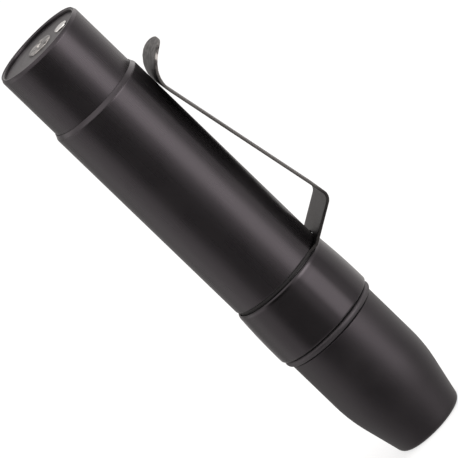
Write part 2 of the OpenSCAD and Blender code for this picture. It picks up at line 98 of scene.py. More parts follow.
class Bench:
    """The modelling moves that every sub-assembly uses."""

    @staticmethod
    def clear() -> None:
        """Leaves edit mode and deselects everything."""
        if bpy.context.object and bpy.context.object.mode != "OBJECT":
            bpy.ops.object.mode_set(mode="OBJECT")
        bpy.ops.object.select_all(action="DESELECT")

    @staticmethod
    def pick(piece: Piece) -> None:
        """Selects one piece alone and makes it active.

        Args:
            piece: The piece.
        """
        Bench.clear()
        piece.select_set(True)
        bpy.context.view_layer.objects.active = piece

    @staticmethod
    def settle(name: str) -> Piece:
        """Puts the active object's place into its mesh and names it.

        Args:
            name: Name of the piece.

        Returns:
            The active object.
        """
        bpy.ops.object.transform_apply(location=True, rotation=True, scale=True)
        piece = bpy.context.object
        piece.name = name
        piece.data.name = name
        return piece

    @staticmethod
    def turn(name: str, profile: Sequence[Point], capped: bool = False) -> Piece:
        """Turns a piece: a circle is extruded and resized from point to point of a profile.

        Args:
            name: Name of the piece.
            profile: Points of radius and height in millimetres; a radius of 0 ends in a pole.
            capped: Whether the first circle is a filled disc.

        Returns:
            The piece, closed, with its faces outwards.
        """
        Bench.clear()
        radius, height = profile[0]
        bpy.ops.mesh.primitive_circle_add(
            vertices=SEGMENTS, radius=radius * MM, fill_type="TRIFAN" if capped else "NOTHING",
            location=(0, 0, height * MM),
        )
        piece = Bench.settle(name)
        bpy.ops.object.mode_set(mode="EDIT")
        bpy.ops.mesh.select_mode(type="EDGE")
        bpy.ops.mesh.select_all(action="DESELECT" if capped else "SELECT")
        if capped:
            bpy.ops.mesh.select_non_manifold(extend=False)
        for (radius, height), (next_radius, next_height) in zip(profile, profile[1:]):
            Bench.extrude((0, 0, next_height - height))
            if next_radius == 0:
                bpy.ops.mesh.merge(type="CENTER")
            elif next_radius != radius:
                ratio = next_radius / radius
                Bench.resize((ratio, ratio, 1), (0, 0, next_height))
        Bench.close()
        return piece

    @staticmethod
    def extrude(step: Sequence[float]) -> None:
        """Extrudes the selected edges by a step in millimetres."""
        bpy.ops.mesh.extrude_region_move(
            TRANSFORM_OT_translate={"value": metres(step), "orient_type": "GLOBAL"}
        )

    @staticmethod
    def resize(ratio: Sequence[float], centre: Sequence[float]) -> None:
        """Resizes what is selected about a point given in millimetres."""
        bpy.ops.transform.resize(
            value=tuple(ratio), center_override=metres(centre), orient_type="GLOBAL"
        )

    @staticmethod
    def close() -> None:
        """Merges doubles, turns the faces outwards and leaves edit mode."""
        bpy.ops.mesh.select_all(action="SELECT")
        bpy.ops.mesh.remove_doubles(threshold=WELD)
        bpy.ops.mesh.normals_make_consistent(inside=False)
        bpy.ops.object.mode_set(mode="OBJECT")

    @staticmethod
    def apply(piece: Piece, kind: str, **settings: object) -> None:
        """Adds a modifier to a piece and applies it.

        Args:
            piece: The piece, which is made the active object.
            kind: Type of the modifier.
            settings: Values of the modifier.
        """
        bpy.context.view_layer.objects.active = piece
        modifier = piece.modifiers.new(kind.lower(), kind)
        for key, value in settings.items():
            setattr(modifier, key, value)
        bpy.ops.object.modifier_apply(modifier=modifier.name)

    @staticmethod
    def move(piece: Piece, step: Sequence[float]) -> None:
        """Moves a piece's mesh.

        Args:
            piece: The piece.
            step: How far it moves, in millimetres.
        """
        Bench.pick(piece)
        piece.location = metres(step)
        bpy.ops.object.transform_apply(location=True, rotation=False, scale=False)

    @staticmethod
    def combine(piece: Piece, other: Piece, operation: str) -> None:
        """Joins another piece to a piece, or cuts it out, and removes the other.

        Args:
            piece: The piece that stays.
            other: The piece that is used up.
            operation: UNION or DIFFERENCE.
        """
        Bench.pick(piece)
        Bench.apply(piece, "BOOLEAN", object=other, operation=operation, solver="EXACT")
        bpy.data.objects.remove(other)

    @staticmethod
    def soften(piece: Piece, width: float, segments: int = 3, limit: float = 30) -> None:
        """Rounds the sharp edges of a piece and shades it smooth between them.

        Args:
            piece: The piece.
            width: Width of the rounding in millimetres.
            segments: Faces across the rounding.
            limit: Smallest angle between two faces that counts as an edge, in degrees.
        """
        Bench.apply(
            piece, "BEVEL", width=width * MM, segments=segments, limit_method="ANGLE",
            angle_limit=math.radians(limit), use_clamp_overlap=True,
        )
        Bench.shade(piece)

    @staticmethod
    def shade(piece: Piece, limit: float = 40) -> None:
        """Shades a piece smooth, with edges kept above a limit in degrees."""
        Bench.pick(piece)
        bpy.ops.object.shade_smooth_by_angle(angle=math.radians(limit))


class Pattern(Enum):
    """The ways in which a finish varies over its surface: repeats a metre on each axis."""

    MOULDED = (700.0, 700.0, 700.0)
    GRAINED = (1900.0, 1900.0, 1900.0)
    DRAWN = (1500.0, 1500.0, 18.0)
    TURNED = (3200.0, 3200.0, 0.0)
    BRUSHED = (2600.0, 500.0, 40.0)
    FELTED = (1100.0, 1100.0, 1100.0)


class Grade(Enum):
    """The noises that a finish is mixed from: scale and detail."""

    FINE = (1.0, 3.0)
    CLOUD = (45.0, 4.0)
    SPECKLE = (420.0, 2.0)


class Wiring:
    """Adds nodes to a node tree and joins them."""

    # The mix node's colour sockets share their names with its other kinds, so they go by number.
    MIX_COLOURS = slice(6, 8)
    MIX_RESULT = 2

    def __init__(self, tree: bpy.types.NodeTree) -> None:
        """Takes the tree that the nodes are added to."""
        self.tree = tree

    def add(self, kind: str, operation: str = "") -> bpy.types.Node:
        """Adds a node.

        Args:
            kind: Type of the node, without its prefix.
            operation: What a math node does.

        Returns:
            The node.
        """
        node = self.tree.nodes.new("ShaderNode" + kind)
        if operation:
            node.operation = operation
        return node

    def feed(self, socket: Socket, value: Socket | float | Sequence[float]) -> None:
        """Joins a value to an input of a node, or sets it there.

        Args:
            socket: The input.
            value: Output of another node, or a constant.
        """
        if isinstance(value, Socket):
            self.tree.links.new(value, socket)
        else:
            socket.default_value = value

    def math(self, operation: str, *values: Socket | float) -> Socket:
        """Works out a value.

        Args:
            operation: Operation of the math node.
            values: What it works on.

        Returns:
            The result.
        """
        node = self.add("Math", operation)
        for socket, value in zip(node.inputs, values):
            self.feed(socket, value)
        return node.outputs[0]

    def vector(self, operation: str, *values: Socket | Sequence[float]) -> Socket:
        """Works out a vector, or a value of vectors.

        Args:
            operation: Operation of the vector math node.
            values: What it works on.

        Returns:
            The result.
        """
        node = self.add("VectorMath", operation)
        for socket, value in zip(node.inputs, values):
            self.feed(socket, value)
        return node.outputs["Value" if operation in ("LENGTH", "DOT_PRODUCT") else "Vector"]

    def axes(self, place: Socket) -> bpy.types.bpy_prop_collection:
        """Takes a vector apart.

        Args:
            place: The vector.

        Returns:
            The outputs X, Y and Z.
        """
        node = self.add("SeparateXYZ")
        self.feed(node.inputs[0], place)
        return node.outputs

    def span(self, value: Socket, source: Point, target: Point = (0.0, 1.0)) -> Socket:
        """Maps a value smoothly from one range to another.

        Args:
            value: The value.
            source: Its range.
            target: The new range.

        Returns:
            The new value.
        """
        node = self.add("MapRange")
        node.interpolation_type = "SMOOTHSTEP"
        names = ("From Min", "From Max", "To Min", "To Max")
        for name, number in zip(names, (*source, *target)):
            node.inputs[name].default_value = number
        self.feed(node.inputs["Value"], value)
        return node.outputs["Result"]

    def noise(self, place: Socket, grade: Grade) -> Socket:
        """Adds a noise.

        Args:
            place: Coordinates that it runs on.
            grade: Its scale and detail.

        Returns:
            Its value.
        """
        node = self.add("TexNoise")
        node.inputs["Scale"].default_value, node.inputs["Detail"].default_value = grade.value
        self.feed(node.inputs["Vector"], place)
        return node.outputs["Fac"]

    def mix(self, factor: Socket, first: Socket | Colour, second: Socket | Colour) -> Socket:
        """Mixes two colours.

        Args:
            factor: Share of the second.
            first: Colour where the share is 0.
            second: Colour where the share is 1.

        Returns:
            The mixed colour.
        """
        node = self.add("Mix")
        node.data_type = "RGBA"
        self.feed(node.inputs["Factor"], factor)
        for socket, colour in zip(node.inputs[self.MIX_COLOURS], (first, second)):
            self.feed(socket, colour if isinstance(colour, Socket) else (*colour, 1.0))
        return node.outputs[self.MIX_RESULT]

    def choose(self, share: Socket, first: Socket, second: Socket) -> Socket:
        """Mixes two shaders or backgrounds.

        Args:
            share: Share of the second.
            first: What shows where the share is 0.
            second: What shows where the share is 1.

        Returns:
            The mixed shader.
        """
        node = self.add("MixShader")
        for socket, source in zip(node.inputs, (share, first, second)):
            self.feed(socket, source)
        return node.outputs[0]


# Parts of the noises' range that the colours and roughness, and the spots of the second colour,
# run over.
NOISE_SPAN: Point = (0.3, 0.7)
SPECKLE_SPAN: Point = (0.35, 0.65)
# Shares of the two noises in the roughness.
CLOUD_SHARE, FINE_SHARE = 0.6, 0.4
# Depth of the relief at full strength, in metres.
RELIEF_DEPTH = 0.00006
SHEEN_ROUGHNESS = 0.5
# Width over which the second colour on a strip's sides runs out, in millimetres.
SIDE_BLEND = 0.2


@dataclass(frozen=True)
class Finish:
    """A surface finish and the nodes that make it.

    The base colour runs between dark and light, the roughness between smooth and rough, and the
    relief follows the pattern. A finish may take a second colour in spots in a band of heights,
    and on the sides of a strip from a distance off its middle, in another band. On the eyelet this
    is painted shade low in its hole; on the clip it gives a lighter tip and lighter edges. Bands
    and distance are millimetres.
    """

    name: str
    slot: str
    pattern: Pattern
    dark: Colour
    light: Colour
    smooth: float
    rough: float
    relief: float
    metallic: float = 0.0
    specular: float = 0.5
    tint: Colour = (1.0, 1.0, 1.0)
    sheen: float = 0.0
    band_colour: Colour | None = None
    colour_band: Point = (0.0, 0.0)
    side_start: float = 0.0
    side_band: Point = (0.0, 0.0)

    def material(self) -> bpy.types.Material:
        """Builds the finish's node material.

        Returns:
            The material.
        """
        made = bpy.data.materials.new(self.name)
        made.use_nodes = True
        shader = made.node_tree.nodes["Principled BSDF"].inputs
        shader["Metallic"].default_value = self.metallic
        shader["Specular IOR Level"].default_value = self.specular
        shader["Specular Tint"].default_value = (*self.tint, 1)
        if self.sheen:
            shader["Sheen Weight"].default_value = self.sheen
            shader["Sheen Roughness"].default_value = SHEEN_ROUGHNESS
        wires = Wiring(made.node_tree)
        place = wires.add("TexCoord").outputs["Object"]
        fine = wires.noise(self._pattern_place(wires, place), Grade.FINE)
        cloud = wires.noise(place, Grade.CLOUD)
        colour = wires.mix(wires.span(cloud, NOISE_SPAN), self.dark, self.light)
        if self.band_colour:
            colour = self._band_tone(wires, place, colour)
        wires.feed(shader["Base Color"], colour)
        grain = wires.math("MULTIPLY", fine, FINE_SHARE)
        uneven = wires.math("MULTIPLY_ADD", cloud, CLOUD_SHARE, grain)
        wires.feed(shader["Roughness"], wires.span(uneven, NOISE_SPAN, (self.smooth, self.rough)))
        bump = wires.add("Bump")
        bump.inputs["Strength"].default_value = self.relief
        bump.inputs["Distance"].default_value = RELIEF_DEPTH
        wires.feed(bump.inputs["Height"], fine)
        wires.feed(shader["Normal"], bump.outputs["Normal"])
        return made

    def _pattern_place(self, wires: Wiring, place: Socket) -> Socket:
        """Coordinates that the pattern runs along.

        Args:
            wires: Nodes of the material.
            place: Object coordinates.

        Returns:
            The scaled coordinates; a turned pattern runs on the distance from the axis and the
            height.
        """
        if self.pattern is Pattern.TURNED:
            height = wires.axes(place)["Z"]
            join = wires.add("CombineXYZ")
            level = wires.vector("MULTIPLY", place, (1, 1, 0))
            wires.feed(join.inputs["X"], wires.vector("LENGTH", level))
            wires.feed(join.inputs["Y"], height)
            place = join.outputs["Vector"]
        return wires.vector("MULTIPLY", place, self.pattern.value)

    def _band_tone(self, wires: Wiring, place: Socket, colour: Socket) -> Socket:
        """Shifts the colour towards the second colour in spots in its band of heights, and on the
        sides of a strip.

        Args:
            wires: Nodes of the material.
            place: Object coordinates.
            colour: Colour before the shift.

        Returns:
            The shifted colour.
        """
        axes = wires.axes(place)
        band = wires.span(axes["Z"], metres(self.colour_band))
        spots = wires.span(wires.noise(place, Grade.SPECKLE), SPECKLE_SPAN)
        toned = wires.math("MULTIPLY", band, spots)
        if self.side_start:
            apart = wires.math("ABSOLUTE", axes["Y"])
            side = wires.span(apart, metres((self.side_start - SIDE_BLEND, self.side_start)))
            side_tone = wires.math("MULTIPLY", side, wires.span(axes["Z"], metres(self.side_band)))
            toned = wires.math("MAXIMUM", toned, side_tone)
        return wires.mix(toned, colour, self.band_colour)


# Faint tint of the reflections on the black pieces.
VIOLET: Colour = (1.0, 0.9, 0.99)

TUBE_BLACK = Finish(
    "tube_satin_black", "tube_black", Pattern.DRAWN, dark=(0.0066, 0.006, 0.0064),
    light=(0.0092, 0.0084, 0.0087), smooth=0.25, rough=0.32, relief=0.05, tint=VIOLET,
)
HEAD_BLACK = Finish(
    "head_satin_black", "tube_black", Pattern.DRAWN, dark=(0.0066, 0.006, 0.0064),
    light=(0.0092, 0.0084, 0.0087), smooth=0.24, rough=0.31, relief=0.05, tint=VIOLET,
)
COLLAR_BLACK = Finish(
    "collar_gloss_black", "collar_black", Pattern.MOULDED, dark=(0.0072, 0.0066, 0.007),
    light=(0.0095, 0.0086, 0.009), smooth=0.12, rough=0.17, relief=0.06, specular=0.41,
    tint=VIOLET,
)
BASE_BLACK = Finish(
    "base_matt_black", "soft_black", Pattern.GRAINED, dark=(0.0066, 0.006, 0.0064),
    light=(0.0098, 0.0089, 0.0093), smooth=0.37, rough=0.46, relief=0.25, specular=0.385,
    tint=VIOLET,
)
HARD_BLACK = Finish(
    "lip_black", "hard_black", Pattern.TURNED, dark=(0.011, 0.0102, 0.0106),
    light=(0.015, 0.014, 0.0142), smooth=0.13, rough=0.19, relief=0.05, tint=VIOLET,
)
RUBBER = Finish(
    "seal_rubber", "seal_rubber", Pattern.MOULDED, dark=(0.013, 0.0125, 0.013),
    light=(0.022, 0.021, 0.0215), smooth=0.4, rough=0.55, relief=0.2, tint=VIOLET,
)
# The clip's colour turns lighter in spots in a band of heights at its tip, and on the strip's side
# edges just above the bend.
SPRING_STEEL = Finish(
    "clip_black_steel", "spring_steel", Pattern.BRUSHED, dark=(0.042, 0.039, 0.039),
    light=(0.075, 0.071, 0.069), smooth=0.34, rough=0.48, relief=0.2, metallic=1.0,
    band_colour=(0.17, 0.162, 0.157), colour_band=(184, 195), side_start=14.95, side_band=(103, 110),
)
# The clip's ring is real steel; its dull dark finish, darker than the clip's own steel, is painted
# shade for the seam between barrel and collar.
BAND_BLACK = Finish(
    "clip_band_painted_shade", "spring_steel", Pattern.BRUSHED, dark=(0.011, 0.0104, 0.0107),
    light=(0.018, 0.0168, 0.0172), smooth=0.5, rough=0.65, relief=0.1, specular=0.2,
)
# The ferrule is real; its turned metal is coloured near black, painted shade, so the gap above the
# collar reads dark.
FERRULE_METAL = Finish(
    "ferrule_turned_metal", "ferrule_metal", Pattern.TURNED, dark=(0.032, 0.031, 0.032),
    light=(0.055, 0.054, 0.055), smooth=0.34, rough=0.46, relief=0.15, metallic=1.0,
)
NYLON = Finish(
    "bush_nylon", "nylon", Pattern.MOULDED, dark=(0.62, 0.61, 0.56), light=(0.7, 0.69, 0.64),
    smooth=0.4, rough=0.52, relief=0.1,
)
PLUG_GLOSS = Finish(
    "plug_satin_black", "plug_gloss", Pattern.TURNED, dark=(0.012, 0.0112, 0.0116),
    light=(0.018, 0.0168, 0.0172), smooth=0.28, rough=0.38, relief=0.05, tint=VIOLET,
)
# Painted shade: the eyelet turns much darker in spots low inside its hole, under the plug's face.
NICKEL = Finish(
    "eyelet_nickel", "nickel", Pattern.TURNED, dark=(0.42, 0.405, 0.39),
    light=(0.54, 0.525, 0.505), smooth=0.26, rough=0.4, relief=0.1, metallic=1.0,
    band_colour=(0.14, 0.135, 0.13), colour_band=(226, 227),
)
# The rivet stands where a glint shows on the plug; its nickel is a much lighter copy of the
# eyelet's, in part a painted highlight.
RIVET_NICKEL = Finish(
    "rivet_nickel", "nickel", Pattern.TURNED, dark=(0.76, 0.75, 0.735),
    light=(0.84, 0.83, 0.815), smooth=0.18, rough=0.26, relief=0.05, metallic=1.0,
)
FELT = Finish(
    "felt_grey", "felt", Pattern.FELTED, dark=(0.07, 0.07, 0.075), light=(0.13, 0.13, 0.135),
    smooth=0.85, rough=0.95, relief=1.0, specular=0.1, sheen=0.3,
)


class Assembly:
    """A sub-assembly: it builds its pieces, dresses them and reports them."""

    body = "base"

    def build(self) -> None:
        """Builds and dresses every piece of the sub-assembly."""
        raise NotImplementedError

    def dress(self, piece: Piece, finish: Finish, *nodes: str) -> None:
        """Gives a piece its finish, lets it ride on the body and stand for its nodes.

        Args:
            piece: The finished piece.
            finish: Its finish.
            nodes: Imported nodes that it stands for.
        """
        self.coat(piece, finish)
        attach(piece, self.body)
        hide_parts(*nodes)
        faces = len(piece.data.polygons)
        log.info("%s: %d faces, on %s, for %s", piece.name, faces, self.body, ", ".join(nodes))

    @staticmethod
    def coat(piece: Piece, finish: Finish) -> None:
        """Puts a finish's material on a piece.

        Args:
            piece: The piece.
            finish: Its finish.
        """
        piece.data.materials.clear()
        piece.data.materials.append(finish.material())

    @staticmethod
    def keep(node: str, finish: Finish) -> None:
        """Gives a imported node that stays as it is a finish.

        Args:
            node: Name of the node.
            finish: Its finish.
        """
        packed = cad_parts[node]
        made = finish.material()
        for slot in packed.material_slots:
            slot.material = made
        log.info("%s: kept, %s", node, finish.name)


class Felt:
    """What the two felt pads share."""

    CLOUD_SIZE = 0.0012
    DEPTH = 0.00012

    @staticmethod
    def ruffle(pad: Piece) -> None:
        """Roughens a felt pad with a shallow cloud displacement, then shades it.

        Args:
            pad: The pad.
        """
        cloud = bpy.data.textures.new(pad.name + "_cloud", "CLOUDS")
        cloud.noise_scale = Felt.CLOUD_SIZE
        Bench.apply(
            pad, "DISPLACE", texture=cloud, texture_coords="LOCAL", strength=Felt.DEPTH,
            mid_level=1.0,
        )
        bpy.data.textures.remove(cloud)
        Bench.shade(pad, limit=60)


@dataclass
class Base(Assembly):
    """Tapered cup that the tube stands on, with the neck, rings and felt in it."""

    body = "base"
    radius: float = 22.3
    height: float = 59.6
    taper_z: float = 34.0
    taper_r: float = 70.0
    taper: float = 13.0
    foot_edge: float = 3.0
    floor: float = 3.0
    wall: float = 2.9
    neck_radius: float = 20.22
    neck_z: float = 45.2
    shoulder: float = 0.9
    bead: float = 3.4
    bead_radius: float = 21.94
    bead_flat: float = 30.0
    gap: float = 0.3
    felt: float = 4.0
    felt_chamfer: Point = (0.3, 0.8)
    felt_wall: float = 1.0
    felt_brim: Point = (0.97, 0.4)
    felt_crown: float = 0.25
    felt_rows: tuple[float, ...] = (0.9, 0.75, 0.6, 0.45, 0.3, 0.15)

    def build(self) -> None:
        """Builds the cup, the bead and the felt, and dresses the nodes that stay."""
        cup = Bench.turn("base_cup", self.profile(), capped=True)
        Bench.soften(cup, width=0.12, segments=2, limit=50)
        self.dress(cup, BASE_BLACK, "base_shell")
        self.dress(self.bead_round(), RUBBER, "bead_ring")
        self.dress(self.felt_pad(), FELT, "base_felt_pad")
        self.keep("base_neck", HARD_BLACK)
        self.keep("snap_ring", SPRING_STEEL)
        self.keep("neck_seal", RUBBER)

    def taper_top(self) -> Point:
        """Where the straight taper runs into the swell.

        Returns:
            Its radius and height.
        """
        lean = math.radians(self.taper)
        radius = self.radius - self.taper_r * (1 - math.cos(lean))
        return radius, self.taper_z - self.taper_r * math.sin(lean)

    def foot(self) -> float:
        """Radius of the flat foot inside its rounded edge.

        Returns:
            The radius.
        """
        lean = math.radians(self.taper)
        radius, height = self.taper_top()
        line = radius * math.cos(lean) - height * math.sin(lean)
        return (line - self.foot_edge + self.foot_edge * math.sin(lean)) / math.cos(lean)

    def profile(self) -> list[Point]:
        """Profile of the cup: out from the foot, up the taper, and down the inside to the floor.

        Returns:
            The profile.
        """
        foot, (top_r, top_z) = self.foot(), self.taper_top()
        corner = arc((foot, self.foot_edge), self.foot_edge, -90, -self.taper, steps=10)
        middle = (self.radius - self.taper_r, self.taper_z)
        swell = arc(middle, self.taper_r, -self.taper, 0, steps=14)
        middle = (self.radius - self.shoulder, self.height - self.shoulder)
        edge = arc(middle, self.shoulder, 0, 90, steps=6)
        inner = self.radius - self.wall
        inside = [
            (self.neck_radius, self.height), (self.neck_radius, self.neck_z),
            (inner, self.neck_z), (inner, self.taper_z), (top_r - self.wall + self.gap, top_z),
            (foot - self.gap, self.floor), (0, self.floor),
        ]
        return corner + swell + edge + inside

    def bead_round(self) -> Piece:
        """Rubber bead between base and collar, a little flattened where it sits on the base.

        Returns:
            The bead.
        """
        half = self.bead / 2
        middle = (self.bead_radius, self.height + half + SEAT)
        ring = arc(middle, half, self.bead_flat - 90, 270 - self.bead_flat, steps=24)
        bead = Bench.turn("bead", closed(ring))
        Bench.shade(bead, limit=60)
        return bead

    def felt_pad(self) -> Piece:
        """Felt disc in the closed end, crowned a little, with a soft uneven top.

        Returns:
            The pad.
        """
        low = self.floor + SEAT
        top = low + self.felt
        reach = self.foot() - 2 * self.gap
        inset, rise = self.felt_chamfer
        brim, drop = self.felt_brim
        rows = [(reach * k, top - self.felt_crown * k * k) for k in self.felt_rows]
        profile = [
            (reach - inset, low), (reach, low + rise), (reach, top - self.felt_wall),
            (reach * brim, top - drop), *rows, (0, top),
        ]
        pad = Bench.turn("base_felt", profile, capped=True)
        Felt.ruffle(pad)
        return pad


@dataclass
class Collar(Assembly):
    """Wide ring that is turned to free the barrel, with its two-start thread and slip washer."""

    body = "collar"
    low: float = 63.3
    top: float = 90.1
    low_radius: float = 24.198
    top_radius: float = 23.3
    bore: float = 22.3
    lip_bore: float = 20.3
    lip: float = 3.0
    edge: float = 0.8
    bevel: float = 0.8
    bevel_height: float = 2.6
    swell: float = 0.25
    side_rows: int = 12
    crest: float = 21.45
    thread_sink: float = 0.12
    thread_z: float = 75.4
    thread_starts: int = 2
    thread_turns: float = 0.65
    thread_lead: float = 8.0
    thread_angle: float = 45.0
    thread_steps: int = 64
    root_width: float = 1.6
    crest_width: float = 0.9

    def build(self) -> None:
        """Builds the collar with its thread and dresses the washer."""
        sleeve = Bench.turn("collar_sleeve", self.profile())
        Bench.soften(sleeve, width=0.15, segments=2, limit=50)
        for start in range(self.thread_starts):
            angle = self.thread_angle + 360 / self.thread_starts * start
            Bench.combine(sleeve, self.ridge(angle), "UNION")
        Bench.shade(sleeve)
        self.dress(sleeve, COLLAR_BLACK, "collar")
        self.keep("slip_washer", NYLON)

    def profile(self) -> list[Point]:
        """Profile of the collar, closed, from its lower lip outwards, both outer edges rounded.

        Returns:
            The profile.
        """
        middle = (self.low_radius - self.edge, self.low + self.edge)
        low = arc(middle, self.edge, -90, 0, steps=6)
        top = [
            (self.top_radius - self.bevel * (1 - x), self.top - self.bevel_height * (1 - y))
            for x, y in arc((0, 0), 1, 0, 90, steps=8)
        ]
        base, rise = low[-1][1], top[0][1] - low[-1][1]
        narrows = self.top_radius - self.low_radius
        side = [
            (self.low_radius + narrows * t + 4 * self.swell * t * (1 - t), base + rise * t)
            for t in (i / self.side_rows for i in range(1, self.side_rows))
        ]
        return closed([
            (self.lip_bore, self.low), *low, *side, *top, (self.bore, self.top),
            (self.bore, self.low + self.lip), (self.lip_bore, self.low + self.lip),
        ])

    def ridge(self, angle: float) -> Piece:
        """One ridge of the thread, wound from its section.

        Args:
            angle: Where the ridge starts round the axis, in degrees.

        Returns:
            The closed ridge.
        """
        Bench.clear()
        sunk = self.bore + self.thread_sink
        middle = (sunk + self.crest) / 2
        centre = (middle, 0, self.thread_z)
        bpy.ops.mesh.primitive_plane_add(
            size=1, location=metres(centre), rotation=(math.pi / 2, 0, 0)
        )
        section = Bench.settle("ridge")
        bpy.ops.object.mode_set(mode="EDIT")
        bpy.ops.mesh.select_all(action="SELECT")
        Bench.resize(((sunk - self.crest) * MM, 1, self.root_width * MM), centre)
        bpy.ops.object.mode_set(mode="OBJECT")
        for vertex in section.data.vertices:
            vertex.select = vertex.co.x < middle * MM
        bpy.ops.object.mode_set(mode="EDIT")
        Bench.resize((1, 1, self.crest_width / self.root_width), centre)
        bpy.ops.object.mode_set(mode="OBJECT")
        section.rotation_euler.z = math.radians(angle)
        bpy.ops.object.transform_apply(location=False, rotation=True, scale=False)
        Bench.apply(
            section, "SCREW", angle=2 * math.pi * self.thread_turns, steps=self.thread_steps,
            render_steps=self.thread_steps,
            screw_offset=self.thread_lead * self.thread_turns * MM,
        )
        bpy.ops.object.mode_set(mode="EDIT")
        bpy.ops.mesh.select_all(action="DESELECT")
        bpy.ops.mesh.select_mode(type="EDGE")
        bpy.ops.mesh.select_non_manifold(extend=False)
        bpy.ops.mesh.fill_holes(sides=4)
        Bench.close()
        return section


@dataclass
class Barrel(Assembly):
    """Outer tube with the guiding ring in its mouth; the ferrule stays as packed."""

    body = "barrel"
    radius: float = 22.5
    bore: float = 21.6
    low: float = 91.62
    top: float = 196.0
    bevel: float = 0.6
    bevel_height: float = 0.8
    crown: float = 0.1
    crown_height: float = 1.0
    seat_radius: float = 21.95
    seat_z: float = 188.98
    mouth_bore: float = 21.25
    mouth_wall: float = 21.93
    mouth_top: float = 198.0
    mouth_bevel: float = 1.0
    mouth_curve: float = 0.85
    mouth_rows: int = 8
    mouth_round: float = 0.15
    skirt_z: float = 189.0

    def build(self) -> None:
        """Builds the tube and the mouth ring and dresses the ferrule."""
        tube = Bench.turn("barrel_tube", self.profile())
        Bench.soften(tube, width=0.12, segments=2, limit=50)
        self.dress(tube, TUBE_BLACK, "barrel")
        mouth = Bench.turn("mouth_lip", self.mouth_profile())
        Bench.soften(mouth, width=0.08, segments=2, limit=50)
        self.dress(mouth, HARD_BLACK, "mouth_ring")
        self.keep("ferrule", FERRULE_METAL)

    def profile(self) -> list[Point]:
        """Profile of the tube, closed, both outer edges rounded, wider inside at the mouth.

        Returns:
            The profile.
        """
        edge = [
            (self.radius - self.bevel * (1 - x), self.low + self.bevel_height * (1 + y))
            for x, y in arc((0, 0), 1, -90, 0, steps=8)
        ]
        crown = [
            (self.radius - self.crown * t * t, self.top - self.crown_height * (1 - t))
            for t in (0, 0.25, 0.5, 0.75, 1)
        ]
        return closed([
            (self.bore, self.low), *edge, *crown, (self.seat_radius, self.top),
            (self.seat_radius, self.seat_z), (self.bore, self.seat_z),
        ])

    def mouth_profile(self) -> list[Point]:
        """Profile of the mouth ring, closed, its lip bevelled outside and rounded inside.

        Returns:
            The profile.
        """
        middle = (self.mouth_bore + self.mouth_round, self.mouth_top - self.mouth_round)
        inner = arc(middle, self.mouth_round, 90, 180, steps=4)
        start, end = self.radius - self.crown, self.radius - self.mouth_bevel
        low, rise = self.top + SEAT, self.mouth_top - self.top - SEAT
        bevel = [
            (start + (end - start) * t ** self.mouth_curve, low + rise * t)
            for t in (i / self.mouth_rows for i in range(self.mouth_rows + 1))
        ]
        return closed([
            (self.mouth_bore, self.skirt_z), (self.mouth_wall, self.skirt_z),
            (self.mouth_wall, low), *bevel, *inner,
        ])


